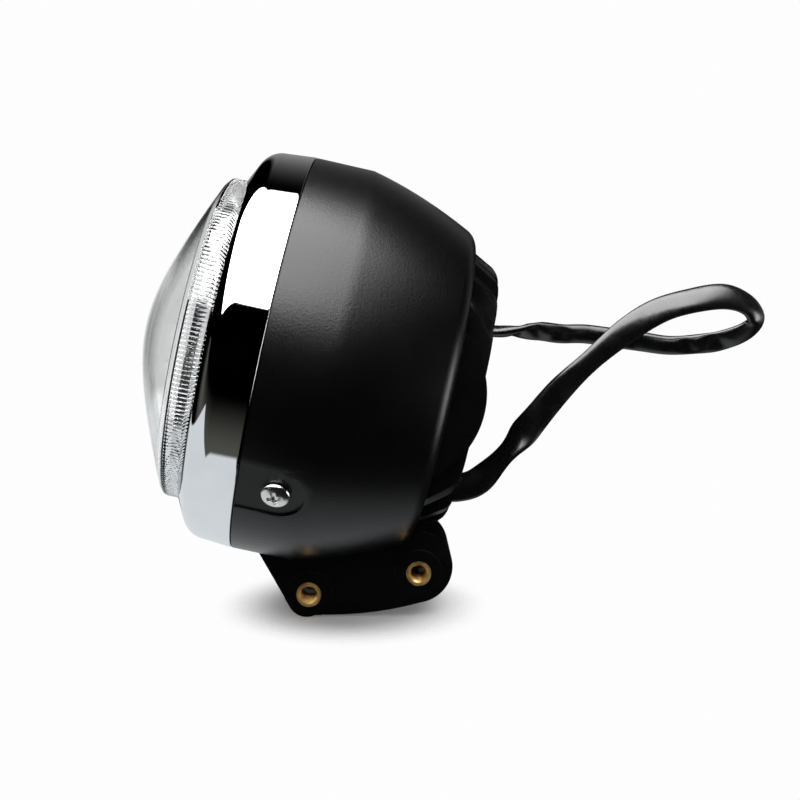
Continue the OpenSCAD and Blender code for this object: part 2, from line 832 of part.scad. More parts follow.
// Domed envelope that all the fins end on
module fin_envelope() {
    lathe(concat(
        [[0, base_front], [sink_r, base_front], [sink_r, sink_back + 0.4]],
        arc(fin_arc_r0, fin_arc_a0, fin_corner_r, fin_side_angle, 90, 8),
        [[fin_arc_r0 * 0.6, fin_top + 1.1], [fin_arc_r0 * 0.2, fin_top + 1.6],
         [0, fin_top + 1.6]]
    ));
}

module sink_spots() {
    for (t = [45 : 90 : 315])
        lamp() rotate([t, 0, 0]) translate([0, 0, sink_screw_r]) children();
}

module grommet_spots() {
    for (z = [grommet_up, -grommet_down])
        lamp() translate([0, 0, z]) rotate([0, 90, 0]) children();
}

module heat_sink() {
    color([0.05, 0.05, 0.055]) difference() {
        union() {
            lathe([[0, base_front], [skirt_in_r, base_front],
                   [skirt_in_r, skirt_front], [sink_r, skirt_front],
                   [sink_r, sink_back - 0.4], [sink_r - 0.4, sink_back],
                   [0, sink_back]]);
            sink_spots() rotate([0, 90, 0]) translate([0, 0, skirt_front])
                cylinder(r = sink_boss_r, h = skirt_l + 1);
            difference() {
                intersection() {
                    fin_envelope();
                    lamp() for (i = [-fin_pairs : fin_pairs])
                        translate([sink_back - 1, i * fin_pitch - fin_t / 2, -sink_r])
                            cube([fin_reach + 10, fin_t, 2 * sink_r]);
                }
                grommet_spots() translate([0, 0, sink_back - 2])
                    cylinder(r = pocket_round, h = fin_reach + 10);
            }
            intersection() {
                lamp() for (side = [-1, 1])
                    translate([end_rib_apex - end_rib_r, side * end_rib_y, 0])
                        rotate([90, 0, 0])
                            cylinder(r = end_rib_r, h = end_rib_t, center = true);
                lamp() translate([sink_back - 1, -sink_r, -sink_r])
                    cube([fin_reach + 10, 2 * sink_r, 2 * sink_r]);
            }
            for (side = [-1, 1])
                rod(base_front - post_h, base_front + 1, 3, side * (driver_w / 2 - 5),
                    driver_z);
        }
        grommet_spots() translate([0, 0, base_front - cut])
            cylinder(d = grommet_d - 0.4, h = base_t + 2 * cut);
        sink_spots() rotate([0, 90, 0]) translate([0, 0, skirt_front - cut])
            cylinder(d = sink_screw_d, h = sink_screw_l - body_back_t + cut);
        for (side = [-1, 1], up = [-1, 1])
            rod(base_front - cut, foot_back - foot_t + bridge_screw_l + running,
                bridge_screw_d / 2,
                side * bridge_screw_y, up * bridge_screw_z);
        lathe([[body_back_r - 3.4, skirt_front - cut], [body_back_r - 1.2, skirt_front - cut],
               [body_back_r - 1.2, skirt_front + sink_seal_t],
               [body_back_r - 3.4, skirt_front + sink_seal_t]]);
    }
}

module heat_sink_seal() {
    color([0.75, 0.3, 0.2])
        lathe([[body_back_r - 3.3, skirt_front], [body_back_r - 1.3, skirt_front],
               [body_back_r - 1.3, skirt_front + sink_seal_t],
               [body_back_r - 3.3, skirt_front + sink_seal_t]]);
}

module heat_sink_screws() {
    head_a = body_back - body_back_t;
    color([0.75, 0.75, 0.76]) sink_spots() rotate([0, 90, 0]) {
        translate([0, 0, head_a]) cylinder(d = sink_screw_d - fit, h = sink_screw_l - 0.5);
        translate([0, 0, head_a - screw_head_t])
            cylinder(d = sink_screw_d * 1.75, h = screw_head_t);
    }
}

module driver_board() {
    back = base_front - post_h;
    color([0.1, 0.35, 0.2])
        block(back - driver_t, back, driver_w, driver_z - driver_h / 2,
              driver_z + driver_h / 2);
}

module driver_coil() {
    back = base_front - post_h - driver_t;
    color([0.15, 0.15, 0.16]) {
        rod(back - coil_h, back, coil_d / 2, 0, driver_z);
        for (side = [-1, 1])
            rod(back - coil_h - 3, back, coil_d / 3, side * coil_d * 1.4, driver_z);
    }
}

// Cable grommets and sleeve

module grommet(z) {
    r = grommet_d / 2;
    color([0.06, 0.06, 0.06]) lamp() translate([0, 0, z]) rotate([0, 90, 0])
        rotate_extrude() polygon([
            [0, base_front - 1], [r - 0.3, base_front - 1],
            [r - 0.3, sink_back], [r + 3.4, sink_back],
            [r + 3, sink_back + grommet_flange_t], [r, sink_back + grommet_flange_t],
            [r - 0.8, grommet_back - 0.6], [r - 1.4, grommet_back], [0, grommet_back]
        ]);
}

module grommet_upper() { grommet(grommet_up); }
module grommet_lower() { grommet(-grommet_down); }

function unit(v) = v / norm(v);

// Catmull-Rom spline through rows of the route, all six columns at once
function spline(p, i, t) =
    let(a = p[max(i - 1, 0)], b = p[i], c = p[i + 1], d = p[min(i + 2, len(p) - 1)])
    0.5 * ((2 * b) + (c - a) * t + (2 * a - 5 * b + 4 * c - d) * t * t
        + (3 * b - a - 3 * c + d) * t * t * t);

function sleeve_rows(p) = concat(
    [for (i = [0 : len(p) - 2], k = [0 : sleeve_steps - 1]) spline(p, i, k / sleeve_steps)],
    [p[len(p) - 1]]);

function place(row) = [row[0], row[1], row[2]];

// Oval ring at row i of the route, square to its direction
function sleeve_ring(rows, i) =
    let(n = len(rows),
        first = i == 0 || i == n - 1,
        along = first ? [1, 0, 0] : unit(place(rows[i + 1]) - place(rows[i - 1])),
        hint = [rows[i][3], rows[i][4], rows[i][5]],
        wide = unit(hint - along * (hint * along)),
        thin = cross(along, wide))
    [for (k = [0 : sleeve_sides - 1]) let(t = 360 * k / sleeve_sides)
        place(rows[i]) + wide * sleeve_w / 2 * cos(t) + thin * sleeve_t / 2 * sin(t)];

module cable_sleeve() {
    exit_x = grommet_back - mount_back;
    last = len(route) - 1;
    p = [for (i = [0 : last]) (i == 0 || i == last)
        ? [for (k = [0 : 5]) k == 0 ? exit_x : (k == 2
            ? mount_drop + (i == 0 ? grommet_up : -grommet_down) : route[i][k])]
        : route[i]];
    rows = sleeve_rows(p);
    n = len(rows);
    s = sleeve_sides;
    points = [for (i = [0 : n - 1]) each sleeve_ring(rows, i)];
    sides = [for (i = [0 : n - 2], k = [0 : s - 1]) each [
        [i * s + k, i * s + (k + 1) % s, (i + 1) * s + k],
        [i * s + (k + 1) % s, (i + 1) * s + (k + 1) % s, (i + 1) * s + k]]];
    ends = [[for (k = [s - 1 : -1 : 0]) k], [for (k = [0 : s - 1]) (n - 1) * s + k]];
    color([0.03, 0.03, 0.03]) polyhedron(points = points, faces = concat(sides, ends));
}

// Brass inserts of the lug

module brass_insert(x, z, side) {
    color([0.8, 0.62, 0.3]) at_thread(x, z)
        translate([0, 0, side * (insert_face - insert_l / 2)]) difference() {
            cylinder(d = insert_d, h = insert_l, center = true);
            cylinder(d = thread_bore_d, h = insert_l + cut, center = true);
        }
}

module insert_front_near() { brass_insert(0, 0, 1); }
module insert_front_far() { brass_insert(0, 0, -1); }
module insert_rear_near() { brass_insert(thread_step, thread_rise, 1); }
module insert_rear_far() { brass_insert(thread_step, thread_rise, -1); }

housing();
mounting_lug();
bezel();
lens();
lens_seal();
trim_ring();
reflector_upper();
reflector_lower();
insert_body();
retaining_ring();
retaining_screws();
light_bridge();
bridge_cap();
bridge_screws();
low_beam_board();
high_beam_board();
low_beam_chips();
high_beam_chips();
thermal_pad();
heat_sink();
heat_sink_seal();
heat_sink_screws();
driver_board();
driver_coil();
grommet_upper();
grommet_lower();
cable_sleeve();
bezel_screw_near();
bezel_screw_far();
clip_nuts();
insert_front_near();
insert_front_far();
insert_rear_near();
insert_rear_far();
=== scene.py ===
import math

import bmesh
import bpy
import numpy as np
from mathutils import Matrix
from mathutils.bvhtree import BVHTree


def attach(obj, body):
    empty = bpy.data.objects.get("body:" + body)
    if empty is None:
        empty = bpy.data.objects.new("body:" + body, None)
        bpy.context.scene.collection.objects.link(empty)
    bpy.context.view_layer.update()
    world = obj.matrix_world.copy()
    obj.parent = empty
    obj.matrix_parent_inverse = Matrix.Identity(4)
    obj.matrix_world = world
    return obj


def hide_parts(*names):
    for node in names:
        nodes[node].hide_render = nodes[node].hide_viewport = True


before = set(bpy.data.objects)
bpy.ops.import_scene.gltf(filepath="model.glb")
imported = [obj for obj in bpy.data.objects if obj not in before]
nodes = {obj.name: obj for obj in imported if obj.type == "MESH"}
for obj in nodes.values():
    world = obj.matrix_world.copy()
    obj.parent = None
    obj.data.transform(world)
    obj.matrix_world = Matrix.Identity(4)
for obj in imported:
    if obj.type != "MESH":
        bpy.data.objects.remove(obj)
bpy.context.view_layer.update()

# The lamp's own axes, in millimetres: "back" runs along the optical axis from
# the seam between bezel and housing, and "radius" is measured from that axis.
SEAM_X = -0.035
AXIS_Z = 0.093


def place(back, y, z):
    """Lamp millimetres to the row's metres: the seam's centre is at (-35, 0, 93) mm."""
    return np.stack([np.asarray(back) / 1000 + SEAM_X, np.asarray(y) / 1000,
                     np.asarray(z) / 1000 + AXIS_Z], -1)


# Camera

def make_camera():
    """A 54 mm lens on a 36 mm frame, half a metre away on the lamp's left side.
    It looks 2.5 degrees towards the rear and 6.7 degrees down, rolled by 12.7 degrees."""
    stand = (-0.002036, -0.502271, 0.14436)
    right = (0.97563922, -0.01691355, 0.21872826)
    down = (0.21503665, -0.12371028, -0.96873887)
    ahead = (0.04344375, 0.99217423, -0.11705957)
    data = bpy.data.cameras.new("camera")
    data.lens = 54.0
    data.sensor_width = 36.0
    camera = bpy.data.objects.new("camera", data)
    turn = Matrix((right, [-v for v in down], [-v for v in ahead])).transposed()
    camera.matrix_world = Matrix.Translation(stand) @ turn.to_4x4()
    bpy.context.scene.collection.objects.link(camera)
    bpy.context.scene.camera = camera


make_camera()


# Meshes

def piece(name, points, faces, sharp=None, body="root"):
    """A smooth mesh from an array of points and an array or list of faces. Edges that
    turn by more than `sharp` degrees stay sharp."""
    if isinstance(faces, np.ndarray):
        faces = faces.tolist()
    mesh = bpy.data.meshes.new(name)
    mesh.from_pydata(np.asarray(points, float).reshape(-1, 3).tolist(), [], faces)
    mesh.polygons.foreach_set("use_smooth", np.ones(len(mesh.polygons), bool))
    mesh.update()
    if sharp:
        mesh.set_sharp_from_angle(angle=math.radians(sharp))
    made = bpy.data.objects.new(name, mesh)
    bpy.context.scene.collection.objects.link(made)
    if body:
        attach(made, body)
    return made


def ring_angles(steps):
    """Angles of the points of a ring, in radians, evenly spaced."""
    return np.linspace(0, 2 * np.pi, steps, endpoint=False)


def grid_faces(rows, columns, along=False, flip=False):
    """Quads of a grid of rows by columns, row times columns plus column being a
    corner's number. The columns close on themselves, and the rows too where `along`."""
    i = np.arange(rows if along else rows - 1)
    i, k = (v.ravel() for v in np.meshgrid(i, np.arange(columns), indexing="ij"))
    next_i, next_k = (i + 1) % rows, (k + 1) % columns
    quads = np.stack([i * columns + k, i * columns + next_k, next_i * columns + next_k,
                      next_i * columns + k], -1)
    return quads[:, ::-1] if flip else quads


def round_axis(radius, back, steps):
    """A profile carried round the optical axis: at angle t a point stands at
    y = -radius cos t, z = radius sin t. Radius and back have one row to a point of
    the profile, and one column, or one to an angle."""
    t = ring_angles(steps)
    radius = np.broadcast_to(radius, (len(radius), steps))
    back = np.broadcast_to(back, (len(back), steps))
    return place(back, -radius * np.cos(t), radius * np.sin(t))


def arc(radius, back, size, start, end, count):
    """Points of an arc round (radius, back); angles run from straight outwards
    towards the rear, in degrees."""
    t = np.radians(np.linspace(start, end, count))
    return np.stack([radius + size * np.cos(t), back + size * np.sin(t)], -1)


# Copies of CAD nodes: corners nearer than this are one, triangles flatter than this
# angle are one face, and a corner nearer than this to a skin lies on it
SAME_CORNER = 2e-6
FLAT_ANGLE = math.radians(0.4)
ON_SKIN = 3e-5


def weigh_edges(mesh, moulded_with):
    """Bevel weight one for each edge, but none for an edge with both ends on the
    surface of the piece that the mesh is moulded in one with."""
    skin = BVHTree.FromPolygons([v.co for v in moulded_with.data.vertices],
                                [list(f.vertices) for f in moulded_with.data.polygons])
    on_skin = np.array([skin.find_nearest(v.co)[3] < ON_SKIN for v in mesh.vertices])
    ends = np.zeros(2 * len(mesh.edges), np.int32)
    mesh.edges.foreach_get("vertices", ends)
    buried = on_skin[ends.reshape(-1, 2)].all(axis=1)
    weights = mesh.attributes.new("bevel_weight_edge", "FLOAT", "EDGE")
    weights.data.foreach_set("value", (~buried).astype(np.float32))


def merged_copy(cad_node, name, bevel, segments, angle=32, against=None):
    """A copy of a CAD node with its triangles joined up, smooth over its curved
    faces, and with its edges rounded by a narrow bevel. It replaces the node. Edges
    that lie on the surface of `against`, which the node is moulded in one with,
    stay sharp, so that no groove shows there."""
    mesh = nodes[cad_node].data.copy()
    mesh.name = name
    work = bmesh.new()
    work.from_mesh(mesh)
    bmesh.ops.remove_doubles(work, verts=work.verts, dist=SAME_CORNER)
    bmesh.ops.dissolve_limit(work, angle_limit=FLAT_ANGLE, verts=work.verts, edges=work.edges)
    work.to_mesh(mesh)
    work.free()
    mesh.polygons.foreach_set("use_smooth", np.ones(len(mesh.polygons), bool))
    mesh.set_sharp_from_angle(angle=math.radians(angle))
    made = bpy.data.objects.new(name, mesh)
    bpy.context.scene.collection.objects.link(made)
    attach(made, "root")
    rounder = made.modifiers.new("rounded_edges", "BEVEL")
    rounder.width = bevel
    rounder.segments = segments
    rounder.limit_method = "WEIGHT" if against else "ANGLE"
    rounder.angle_limit = math.radians(angle)
    rounder.harden_normals = True
    rounder.use_clamp_overlap = True
    if against:
        weigh_edges(mesh, against)
    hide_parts(cad_node)
    return made


# Node tools

def fill(tree, made, **values):
    """Feeds a node's inputs. A name is the input's own with _ for each space, or i
    and the input's place. A value is an output, which is linked, or a plain value."""
    for key, value in values.items():
        by_place = key[0] == "i" and key[1:].isdigit()
        socket = made.inputs[int(key[1:]) if by_place else key.replace("_", " ")]
        if isinstance(value, bpy.types.NodeSocket):
            tree.links.new(value, socket)
        else:
            socket.default_value = value


def node(tree, kind, **values):
    """A shader node. Names that start with set_ are its properties, the others its
    inputs."""
    made = tree.nodes.new(kind)
    inputs = {}
    for key, value in values.items():
        if key.startswith("set_"):
            setattr(made, key[4:], value)
        else:
            inputs[key] = value
    fill(tree, made, **inputs)
    return made


def maths(tree, operation, a, b, clamp=False):
    """The outcome of one operation on two values."""
    return node(tree, "ShaderNodeMath", set_operation=operation, set_use_clamp=clamp,
                i0=a, i1=b).outputs[0]


def product(tree, first, *others):
    """All the values multiplied together."""
    for value in others:
        first = maths(tree, "MULTIPLY", first, value)
    return first


def ramp(tree, value, low, high, out_low=0.0, out_high=1.0):
    """A smooth step of a value from out_low at `low` to out_high at `high`."""
    made = node(tree, "ShaderNodeMapRange", set_interpolation_type="SMOOTHSTEP",
                Value=value, From_Min=low, From_Max=high, To_Min=out_low, To_Max=out_high)
    return made.outputs[0]


def blend_colours(tree, factor, a, b):
    """Colour a where the factor is 0, running over to colour b where it is 1."""
    return node(tree, "ShaderNodeMix", set_data_type="RGBA", i0=factor, i6=a, i7=b).outputs[2]


def object_spot(tree):
    """Place on the piece, in the row's metres."""
    return node(tree, "ShaderNodeTexCoord").outputs["Object"]


def noise(tree, scale, detail, spot=None, **more):
    """Noise over the piece, of about `scale` grains to a metre."""
    return node(tree, "ShaderNodeTexNoise", Vector=spot or object_spot(tree), Scale=scale,
                Detail=detail, **more).outputs[0]


def new_group(name, inputs, outputs):
    """An empty node group of number inputs with their plain values, and of outputs
    with their kinds; returns its tree, its inputs' node and its outputs' node."""
    tree = bpy.data.node_groups.new(name, "ShaderNodeTree")
    for label, value in inputs.items():
        socket = tree.interface.new_socket(label, in_out="INPUT", socket_type="NodeSocketFloat")
        socket.default_value = value
    for label, kind in outputs.items():
        tree.interface.new_socket(label, in_out="OUTPUT", socket_type="NodeSocket" + kind)
    return tree, tree.nodes.new("NodeGroupInput").outputs, tree.nodes.new("NodeGroupOutput")


def grain_group():
    """Fine texture of a moulded or cast skin: two sizes of noise added together as
    a height, and a slow patchy change of roughness round a middle value."""
    tree, inside, out = new_group(
        "skin_grain",
        {"Grain Size": 900.0, "Height": 0.1, "Roughness": 0.4, "Patchiness": 0.06},
        {"Normal": "Vector", "Roughness": "Float", "Patches": "Float"})
    fine = noise(tree, inside["Grain Size"], 3.0, Roughness=0.55)
    coarse = noise(tree, maths(tree, "MULTIPLY", inside["Grain Size"], 0.37), 1.0)
    height = maths(tree, "ADD", fine, maths(tree, "MULTIPLY", coarse, 0.8))
    bump = node(tree, "ShaderNodeBump", Strength=inside["Height"], Distance=0.0006,
                Height=height)
    patches = noise(tree, 38.0, 4.0, Roughness=0.6)
    change = maths(tree, "MULTIPLY", maths(tree, "SUBTRACT", patches, 0.5),
                   inside["Patchiness"])
    rough = maths(tree, "ADD", inside["Roughness"], change, clamp=True)
    fill(tree, out, Normal=bump.outputs[0], Roughness=rough, Patches=patches)
    return tree


def film_group():
    """Handling film on a polished surface: faint smears that lift the roughness,
    longest across the lamp, and a very slight waviness."""
    tree, inside, out = new_group(
        "handling_film",
        {"Roughness": 0.03, "Smears": 0.04, "Waviness": 0.02},
        {"Roughness": "Float", "Normal": "Vector"})
    stretched = node(tree, "ShaderNodeMapping", Vector=object_spot(tree),
                     Scale=(1.0, 0.35, 0.6)).outputs[0]
    smear = ramp(tree, noise(tree, 26.0, 6.0, spot=stretched, Roughness=0.62), 0.45, 0.8)
    rough = maths(tree, "ADD", inside["Roughness"],
                  maths(tree, "MULTIPLY", smear, inside["Smears"]))
    bump = node(tree, "ShaderNodeBump", Strength=inside["Waviness"], Distance=0.0008,
                Height=noise(tree, 22.0, 0.0))
    fill(tree, out, Roughness=rough, Normal=bump.outputs[0])
    return tree


GRAIN = grain_group()
FILM = film_group()


# Materials

def blank(name):
    """A material with its shader and nothing else; returns material, tree, shader."""
    made = bpy.data.materials.new(name)
    made.use_nodes = True
    tree = made.node_tree
    return made, tree, tree.nodes["Principled BSDF"]


def add_group(tree, group, **values):
    """A node group placed in a material with its own values; returns its outputs."""
    made = tree.nodes.new("ShaderNodeGroup")
    made.node_tree = group
    fill(tree, made, **values)
    return made.outputs


def grained(name, dark, light, roughness, size, height, patchiness=0.06, specular=0.5):
    """Moulded, cast or rubber skin: the colour drifts between two near shades."""
    made, tree, shader = blank(name)
    skin = add_group(tree, GRAIN, Grain_Size=size, Height=height, Roughness=roughness,
                     Patchiness=patchiness)
    drift = ramp(tree, skin["Patches"], 0.3, 0.7)
    fill(tree, shader, Base_Color=blend_colours(tree, drift, (*dark, 1), (*light, 1)),
         Roughness=skin["Roughness"], Normal=skin["Normal"], Specular_IOR_Level=specular)
    return made


def filmed_metal(name, colour, other, drift, roughness, smears, waviness):
    """Metal with a faint handling film. Its colour drifts over to the other one by a
    noise: `drift` holds its patches to a metre, its detail and the value it sets in at."""
    made, tree, shader = blank(name)
    patches, detail, low = drift
    film = add_group(tree, FILM, Roughness=roughness, Smears=smears, Waviness=waviness)
    share = ramp(tree, noise(tree, patches, detail), low, 0.7)
    fill(tree, shader, Base_Color=blend_colours(tree, share, (*colour, 1), (*other, 1)),
         Roughness=film["Roughness"], Normal=film["Normal"], Metallic=1.0)
    return made


def polished(name, colour, roughness, smears, waviness=0.02):
    """Plated, metallised or bright metal, drifting to a shade 5 percent paler."""
    paler = tuple(min(1.0, c * 1.05) for c in colour)
    return filmed_metal(name, colour, paler, (60.0, 3.0, 0.3), roughness, smears, waviness)


def sleeve_material():
    """Soft glossy sleeve: slow unevenness from noise and a faint fine grain."""
    made, tree, shader = blank("sleeve_black")
    slow = noise(tree, 150.0, 2.0)
    grain = noise(tree, 1800.0, 2.0)
    height = maths(tree, "ADD", slow, maths(tree, "MULTIPLY", grain, 0.06))
    bump = node(tree, "ShaderNodeBump", Strength=0.12, Distance=0.0012, Height=height)
    colour = blend_colours(tree, slow, (0.005, 0.005, 0.0055, 1), (0.008, 0.008, 0.0085, 1))
    fill(tree, shader, Base_Color=colour, Roughness=ramp(tree, slow, 0.3, 0.75, 0.24, 0.33),
         Normal=bump.outputs[0])
    return made


def lens_material():
    """Clear polycarbonate, polished, with the faintest ripple."""
    made, tree, shader = blank("lens_clear")
    film = add_group(tree, FILM, Roughness=0.0, Smears=0.01, Waviness=0.01)
    fill(tree, shader, Base_Color=(0.985, 0.99, 0.99, 1), Roughness=film["Roughness"],
         Normal=film["Normal"], Transmission_Weight=1.0, IOR=1.58)
    return made


def chip_material():
    """Phosphor over the light chips: warm yellow with a fine speckle."""
    made, tree, shader = blank("chip_yellow")
    speckle = ramp(tree, noise(tree, 2600.0, 2.0), 0.35, 0.65)
    fill(tree, shader, Roughness=0.45, Base_Color=blend_colours(
        tree, speckle, (0.86, 0.62, 0.12, 1), (0.95, 0.74, 0.2, 1)))
    return made


def matt(name, grey):
    """Matt paint without any sheen, for the stage; returns material, tree, shader."""
    made, tree, shader = blank(name)
    fill(tree, shader, Base_Color=(grey, grey, grey, 1), Roughness=1.0, Specular_IOR_Level=0.0)
    return made, tree, shader


HOUSING_BLACK = grained("housing_black", (0.0022, 0.0022, 0.0023), (0.0032, 0.0032, 0.0034),
                        0.29, 2600.0, 0.12, patchiness=0.05, specular=0.28)
SINK_BLACK = grained("sink_black", (0.002, 0.002, 0.0021), (0.003, 0.003, 0.0031),
                     0.32, 2600.0, 0.08, patchiness=0.06, specular=0.2)
CHROME = polished("bezel_chrome", (0.80, 0.81, 0.825), 0.025, smears=0.03, waviness=0.015)
MIRROR = polished("reflector_mirror", (0.86, 0.87, 0.88), 0.03, smears=0.02, waviness=0.01)
TRIM_MIRROR = polished("trim_mirror", (0.80, 0.81, 0.82), 0.14, smears=0.03, waviness=0.01)
STEEL = polished("steel", (0.56, 0.56, 0.57), 0.28, smears=0.12, waviness=0.05)
SCREW_BRIGHT = polished("screw_bright", (0.72, 0.71, 0.70), 0.24, smears=0.15, waviness=0.05)
SPRING_STEEL = polished("spring_steel", (0.22, 0.22, 0.23), 0.38, smears=0.1)
BARE_ALUMINIUM = polished("bare_aluminium", (0.62, 0.63, 0.65), 0.32, smears=0.12)
BRASS = filmed_metal("brass", (0.80, 0.55, 0.22), (0.60, 0.36, 0.13), (420.0, 4.0, 0.35),
                     0.44, smears=0.12, waviness=0.05)
GROMMET_RUBBER = grained("grommet_rubber", (0.014, 0.014, 0.014), (0.02, 0.02, 0.02),
                         0.55, 1200.0, 0.2)
SEAL_RUBBER = grained("seal_rubber", (0.03, 0.03, 0.03), (0.045, 0.045, 0.045), 0.6, 1200.0, 0.2)
SEAL_RED = grained("seal_red", (0.45, 0.1, 0.06), (0.55, 0.14, 0.09), 0.5, 1200.0, 0.15)
INNER_PLASTIC = grained("inner_plastic", (0.03, 0.03, 0.032), (0.04, 0.04, 0.042),
                        0.5, 1300.0, 0.2)
BOARD_WHITE = grained("board_white", (0.78, 0.78, 0.74), (0.84, 0.84, 0.8), 0.35, 900.0, 0.05)
BOARD_GREEN = grained("board_green", (0.03, 0.2, 0.09), (0.05, 0.26, 0.12), 0.35, 900.0, 0.08)
COIL_BLACK = grained("coil_black", (0.03, 0.03, 0.033), (0.045, 0.045, 0.05), 0.45, 900.0, 0.15)
PAD_GREY = grained("pad_grey", (0.36, 0.42, 0.47), (0.42, 0.48, 0.53), 0.65, 800.0, 0.2)
SLEEVE_BLACK = sleeve_material()
LENS_CLEAR = lens_material()
CHIP_YELLOW = chip_material()


def finish_with(thing, material):
    """Gives a piece its one material, in place of those it had."""
    thing.data.materials.clear()
    thing.data.materials.append(material)


# Cable sleeve

# Millimetres in the row's frame, the direction of the sleeve's wide side, and the
# share of its full width, which is less where the soft tube is rolled up
ROUTE = np.array([
    [44.4, 0, 122, 0, -1, 0, 1], [52, 0, 122, 0, -1, 0, 1], [61, 1, 124, 0, -1, 0.25, 0.9],
    [71, 3, 126, 0, -0.6, 0.8, 0.75], [81, 5, 127, 0, -0.35, 0.95, 0.7],
    [91, 7, 129, 0, -0.3, 0.95, 0.7], [103, 8, 130, 0, -0.3, 0.95, 0.7],
    [115, 8, 131, 0, -0.3, 0.95, 0.7], [127, 8, 132, 0, -0.3, 0.95, 0.7],
    [138, 7, 135, -0.2, -0.3, 0.9, 0.72], [148, 5, 139, -0.4, -0.5, 0.7, 0.8],
    [156, 2, 145, -0.7, -0.6, 0.3, 0.88], [158, -1, 151, -0.7, -0.7, -0.1, 0.9],
    [152, -4, 156, -0.5, -0.7, -0.6, 0.88], [141, -7, 157, 0, -0.5, -1, 0.9],
    [127, -9, 152, 0.25, -0.5, -0.8, 0.92], [115, -9, 145, 0.45, -0.4, -0.75, 0.92],
    [104, -9, 134, 0.7, -0.1, -0.6, 0.86], [93, -8, 119, 0.75, 0.35, -0.5, 0.82],
    [84, -7, 105, 0.8, 0.35, -0.45, 0.95], [76, -6, 89, 0.85, 0.1, -0.4, 1],
    [68.5, -4, 73.5, 0.3, -0.9, -0.3, 1], [60, -2, 59, 0.4, -0.35, -0.85, 1],
    [52, 0, 53.7, 0.2, -0.1, -1, 1], [44.4, 0, 53, 0, 0, -1, 1]], float)
# Creases: distance along the sleeve, slant across it, depth and half-width in mm
CREASES = ((17, 2.2, 0.9, 2.6), (27, -2.6, 1.1, 2.2), (34, 2.4, 0.9, 2.6),
           (40, -1.6, 0.7, 2.0), (61, 3.0, 1.2, 2.4), (68, -2.0, 0.8, 3.2),
           (92, -2.8, 1.1, 2.6), (99, 2.6, 1.3, 2.4), (106, -1.8, 0.9, 2.8))
SLEEVE_WIDE = 12.5
SLEEVE_THICK = 5.0
ROLLED_GAIN = 0.6    # how much thicker the sleeve grows as its width share goes to none
PLAIN_END = 12.0     # length at each end over which creases and narrowing set in
NARROWING = 0.02     # share by which the width swings slightly along the sleeve
SWING_LENGTH = 6.2   # length of one radian of that swing
EDGE_POWER = 0.92    # under 1 makes the oval a little squarer at its thin edges


def spline(rows, per_span):
    """Catmull-Rom curve through all columns of rows, per_span points to a span."""
    padded = np.vstack([rows[:1], rows, rows[-1:]])
    t = np.linspace(0, 1, per_span, endpoint=False)[:, None]
    spans = []
    for a, b, c, d in zip(padded[:-3], padded[1:-2], padded[2:-1], padded[3:]):
        spans.append(0.5 * (2 * b + (c - a) * t + (2 * a - 5 * b + 4 * c - d) * t ** 2
                            + (3 * b - a - 3 * c + d) * t ** 3))
    return np.vstack(spans + [rows[-1:]])


def unit_rows(v):
    """Each row made one unit long."""
    return v / np.linalg.norm(v, axis=1, keepdims=True)


def make_sleeve():
    """Flattened tube along the route: a rounded oval ring at each step, square to
    the route, wide side along the given direction, and thicker where it is rolled
    narrower. Each crease presses the flat sides in by its depth times two raised to
    minus the square of the distance over its half-width, and its place slants from
    one edge to the other by the cosine of the ring angle."""
    rows = spline(ROUTE, 14)
    centre, hint, share = rows[:, :3], rows[:, 3:6], rows[:, 6:]
    along = unit_rows(np.gradient(centre, axis=0))
    along[[0, -1]] = (1, 0, 0)
    wide = unit_rows(hint - along * (hint * along).sum(1, keepdims=True))
    thin = np.cross(along, wide)
    steps = np.linalg.norm(np.diff(centre, axis=0), axis=1)
    run = np.concatenate([[0], np.cumsum(steps)])[:, None]
    total = run[-1, 0]
    ends = np.clip(np.minimum(run, total - run) / PLAIN_END, 0, 1)
    sides = 48
    t = ring_angles(sides)
    pressed = sum(depth * 2.0 ** -(((run - at - slant * np.cos(t)) / half) ** 2)
                  for at, slant, depth, half in CREASES)
    swing = NARROWING * ends * (1 + np.sin(run / SWING_LENGTH))
    half_wide = SLEEVE_WIDE / 2 * share * (1 - swing)
    half_thick = SLEEVE_THICK / 2 * (1 + ROLLED_GAIN * (1 - share))
    u = half_wide * np.sign(np.cos(t)) * np.abs(np.cos(t)) ** EDGE_POWER
    v = (half_thick - ends * np.abs(np.sin(t)) * pressed) * np.sin(t)
    points = centre[:, None] + wide[:, None] * u[..., None] + thin[:, None] * v[..., None]
    first_ring = np.arange(sides)
    last_ring = first_ring + (len(rows) - 1) * sides
    faces = grid_faces(len(rows), sides, flip=True).tolist()
    faces += [first_ring.tolist(), last_ring[::-1].tolist()]
    made = piece("sleeve", points / 1000, faces, sharp=50)
    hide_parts("cable_sleeve")
    finish_with(made, SLEEVE_BLACK)


make_sleeve()


# Bezel, in lamp millimetres

BEZEL_R = 82.5        # its side at the seam
FRONT_R = 81.4        # its side where the shoulder starts
ROLL_R = 0.5          # rolled rear edge
SHOULDER_R = 9.4
SHOULDER_A = -12.02   # place of the shoulder's centre
FACE = 24             # degrees between the face and a plane square to the axis
OPENING_R = 68.2
LIP_R = 0.8
LIP_A = -24.0         # place of the lip's front
SEAT_R = 72.9         # outside of the lens seal's seat behind the lip
SEAT_A = -20.2        # place of that seat
BEZEL_WALL = 2.4
BEZEL_STEPS = 288


